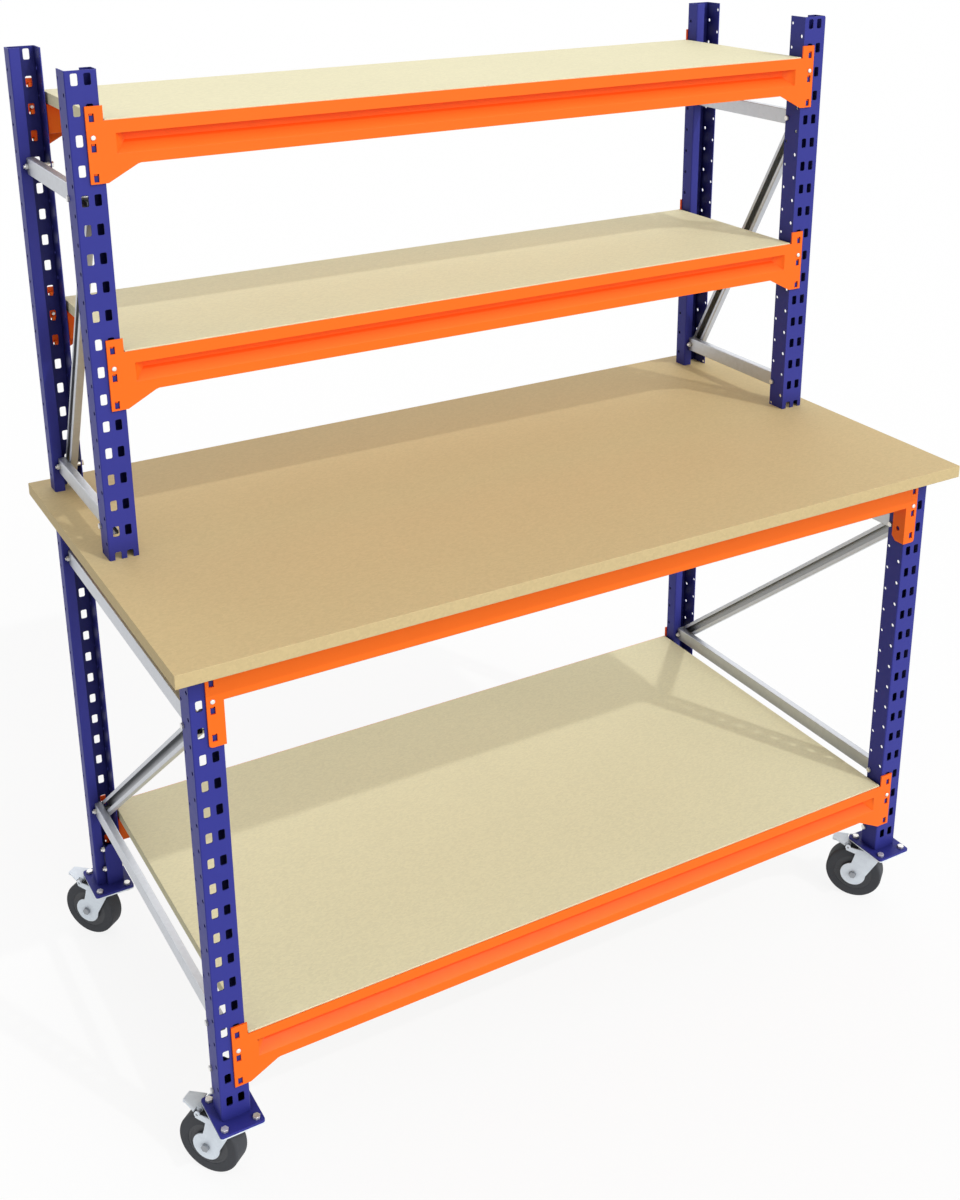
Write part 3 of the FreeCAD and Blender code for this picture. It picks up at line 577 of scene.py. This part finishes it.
class BENCH_OT_boards(bpy.types.Operator):
    """Dress the worktop and the shelves as chipboard with broken edges"""

    bl_idname = "bench.boards"
    bl_label = "Boards"

    def execute(self, context):
        sizes = context.scene.bench_sizes
        for level in LEVELS:
            node = f"{level}_board"
            piece = merged_copy(node)
            round_edges(piece, sizes.board_edge, EDGE_STEPS, every_corner)
            finish_piece(piece, node)
        return {"FINISHED"}


def free_edge(piece, side):
    """Where the open side of the left or right channel lies, and which way its web is from there."""
    mesh = piece.data
    faces = [face for face in mesh.polygons if face.center.x * side > 0]
    web = max(faces, key=lambda face: face.area * abs(face.normal.x)).center.x
    reach = [vertex.co.x for vertex in mesh.vertices if vertex.co.x * side > 0]
    edge = max((min(reach), max(reach)), key=lambda place: abs(place - web))
    return edge, math.copysign(1.0, web - edge)


def edge_strips(piece, side, edge, inner):
    """The strips along a channel's free edges, on the inside of its two flanges."""
    mesh = piece.data
    found = []
    for face in mesh.polygons:
        if abs(face.normal.x) > ACROSS or not min(edge, inner) < face.center.x < max(edge, inner):
            continue
        heights = [vertex.co.dot(face.normal) for vertex in mesh.vertices if vertex.co.x * side > 0]
        if face.center.dot(face.normal) < (min(heights) + max(heights)) / 2:
            found.append(face)
    return found


def fold_lips(piece, lip, wall):
    """Folds a lip inwards along both free edges of the left and the right channel."""
    bpy.context.tool_settings.mesh_select_mode = (False, False, True)
    for side in (-1, 1):
        edge, way = free_edge(piece, side)
        inner = edge + way * wall
        select_only(piece)
        bpy.ops.object.mode_set(mode="EDIT")
        bpy.ops.mesh.select_all(action="SELECT")
        bpy.ops.mesh.bisect(plane_co=(inner, 0.0, 0.0), plane_no=(1.0, 0.0, 0.0))
        bpy.ops.object.mode_set(mode="OBJECT")
        for normal in [face.normal.copy() for face in edge_strips(piece, side, edge, inner)]:
            clear_selection(piece.data)
            for face in edge_strips(piece, side, edge, inner):
                face.select = face.normal.dot(normal) > SAME_WAY
            bpy.ops.object.mode_set(mode="EDIT")
            bpy.ops.mesh.extrude_region_move(TRANSFORM_OT_translate={"value": normal * (lip - wall)})
            bpy.ops.object.mode_set(mode="OBJECT")
    join_flat_faces(piece)


class BENCH_OT_braces(bpy.types.Operator):
    """Dress the side-frame braces as galvanised channels with folded lips"""

    bl_idname = "bench.braces"
    bl_label = "Braces"

    def execute(self, context):
        sizes = context.scene.bench_sizes
        for tier in ("lower", "upper"):
            for kind in ("top", "bottom", "diagonal"):
                node = f"{tier}_{kind}_braces"
                piece = merged_copy(node)
                fold_lips(piece, sizes.brace_lip, sizes.brace_wall)
                folds = fold_test(shortest=0.2, narrowest=0.004)
                round_edges(piece, sizes.brace_fold, sizes.fold_steps, folds)
                finish_piece(piece, node)
        return {"FINISHED"}


class BENCH_OT_fasteners(bpy.types.Operator):
    """Dress the bolts, lock pins and kingpins"""

    bl_idname = "bench.fasteners"
    bl_label = "Fasteners"

    def execute(self, context):
        sizes = context.scene.bench_sizes
        pins = merged_copy("beam_lock_pins")
        round_edges(pins, sizes.pin_dome, CORNER_STEPS, pin_rim)
        finish_piece(pins, "beam_lock_pins", "bolts")
        for node in ("brace_bolts", "foot_bolts", "caster_plate_bolts", "kingpins"):
            piece = merged_copy(node)
            round_edges(piece, sizes.plate_edge, EDGE_STEPS, outside_corner)
            finish_piece(piece, node, "bolts")
        return {"FINISHED"}


class BENCH_OT_feet(bpy.types.Operator):
    """Dress the post feet and the casters' top plates"""

    bl_idname = "bench.feet"
    bl_label = "Feet"

    def execute(self, context):
        sizes = context.scene.bench_sizes
        for node in [f"post_foot_{post}" for post in POSTS] + ["caster_top_plates"]:
            piece = merged_copy(node)
            round_edges(piece, sizes.plate_edge, EDGE_STEPS, outside_corner)
            finish_piece(piece, node)
        return {"FINISHED"}


class BENCH_OT_casters(bpy.types.Operator):
    """Dress the forks, axles, wheels and brake pedals"""

    bl_idname = "bench.casters"
    bl_label = "Casters"

    def execute(self, context):
        sizes = context.scene.bench_sizes
        for post in POSTS:
            for piece_name in ("caster_fork", "caster_axle", "wheel_rim", "tyre", "brake_pedal"):
                node = f"{piece_name}_{post}"
                piece = merged_copy(node)
                if piece_name != "tyre":
                    round_edges(piece, sizes.plate_edge, EDGE_STEPS, outside_corner)
                finish_piece(piece, node, "axle" if piece_name == "caster_axle" else None)
        return {"FINISHED"}


CAMERA_AT = (-1.44785, -2.48666, 2.26805)
CAMERA_AZIMUTH = 29.55
CAMERA_DIP = 19.05
CAMERA_ROLL = -0.48
FOCAL_PIXELS = 1521.42
FRAME_HEIGHT = 1200.0
SENSOR = 36.0
CAMERA_SHIFT = -0.18
CAMERA_REACH = 200.0

# Name, strength, spread in degrees and direction of travel
LAMPS = (
    ("key_sun", 0.80, 1.2, (-0.273, 0.62, -0.74)),
    ("front_fill", 1.5, 50.0, (-0.25, 0.89, -0.38)),
    ("rear_fill", 0.65, 70.0, (-0.15, -0.85, -0.50)),
)
LAMP_AT = (2.0, -4.0, 5.0)
WORLD_LIGHT = 0.60
FLOOR_GLOW = 0.86
FLOOR_RADIUS = 40.0
FLOOR_SIDES = 96
FLOOR_ROUGHNESS = 0.9


class BENCH_OT_stage(bpy.types.Operator):
    """Set the floor, the light and the camera"""

    bl_idname = "bench.stage"
    bl_label = "Stage"

    def execute(self, context):
        scene = context.scene
        self.floor(scene.bench_colours)
        self.world(scene)
        self.lamps()
        self.camera(scene)
        scene.view_settings.view_transform = "Standard"
        return {"FINISHED"}

    def floor(self, tints):
        bpy.ops.object.select_all(action="DESELECT")
        bpy.ops.mesh.primitive_circle_add(vertices=FLOOR_SIDES, radius=FLOOR_RADIUS, fill_type="NGON")
        floor = bpy.context.active_object
        floor.name = "studio_floor"
        made = Finish("studio_floor")
        seen = made.seen()
        made.set(base_color=made.blend(seen, scaled(tints.floor_bounce), scaled(tints.floor)),
                 roughness=FLOOR_ROUGHNESS)
        glow = made.node("ShaderNodeEmission", None, {"Strength": 1.0})
        made.show(made.node("ShaderNodeMixShader", None, {0: seen * FLOOR_GLOW, 1: made.result, 2: glow}))
        floor.data.materials.append(made.material)

    def world(self, scene):
        world = bpy.data.worlds.new("studio_world")
        world.use_nodes = True
        scene.world = world
        sky = NodeSheet(world.node_tree, "ShaderNodeOutputWorld")
        strength = WORLD_LIGHT + sky.seen() * (1.0 - WORLD_LIGHT)
        sky.show(sky.node("ShaderNodeBackground", None, {"Color": WHITE, "Strength": strength}))

    def lamps(self):
        for name, energy, spread, travel in LAMPS:
            bpy.ops.object.light_add(type="SUN", location=LAMP_AT)
            sun = bpy.context.active_object
            sun.name = name
            sun.data.energy = energy
            sun.data.angle = math.radians(spread)
            sun.rotation_euler = Vector(travel).to_track_quat("-Z", "Y").to_euler()

    def camera(self, scene):
        bpy.ops.object.camera_add(location=CAMERA_AT)
        camera = bpy.context.active_object
        camera.name = "photo_camera"
        azimuth, dip = math.radians(CAMERA_AZIMUTH), math.radians(CAMERA_DIP)
        level = math.cos(dip)
        look = Vector((math.sin(azimuth) * level, math.cos(azimuth) * level, -math.sin(dip)))
        camera.rotation_euler = look.to_track_quat("-Z", "Y").to_euler()
        camera.rotation_euler.rotate_axis("Z", math.radians(CAMERA_ROLL))
        camera.data.sensor_fit = "VERTICAL"
        camera.data.sensor_height = SENSOR
        camera.data.sensor_width = SENSOR
        camera.data.lens = FOCAL_PIXELS * SENSOR / FRAME_HEIGHT
        camera.data.shift_y = CAMERA_SHIFT
        camera.data.clip_end = CAMERA_REACH
        scene.camera = camera


class BENCH_PT_panel(bpy.types.Panel):
    """Lists the bench's pieces and their sizes and colours"""

    bl_idname = "BENCH_PT_panel"
    bl_label = "Mobile workbench"
    bl_space_type = "VIEW_3D"
    bl_region_type = "UI"
    bl_category = "Workbench"

    def draw(self, context):
        for made in OPERATORS:
            self.layout.operator(made.bl_idname)
        for group in (context.scene.bench_sizes, context.scene.bench_colours):
            for name in group.__annotations__:
                self.layout.prop(group, name)


OPERATORS = (BENCH_OT_uprights, BENCH_OT_beams, BENCH_OT_boards, BENCH_OT_braces, BENCH_OT_fasteners,
             BENCH_OT_feet, BENCH_OT_casters, BENCH_OT_stage)
CLASSES = (BenchColours, BenchSizes, *OPERATORS, BENCH_PT_panel)


def register():
    for made in CLASSES:
        bpy.utils.register_class(made)
    bpy.types.Scene.bench_colours = PointerProperty(type=BenchColours)
    bpy.types.Scene.bench_sizes = PointerProperty(type=BenchSizes)


def unregister():
    del bpy.types.Scene.bench_sizes
    del bpy.types.Scene.bench_colours
    for made in reversed(CLASSES):
        bpy.utils.unregister_class(made)


def main():
    register()
    bpy.ops.bench.uprights()
    bpy.ops.bench.beams()
    bpy.ops.bench.boards()
    bpy.ops.bench.braces()
    bpy.ops.bench.fasteners()
    bpy.ops.bench.feet()
    bpy.ops.bench.casters()
    bpy.ops.bench.stage()


if __name__ == "__main__":
    main()
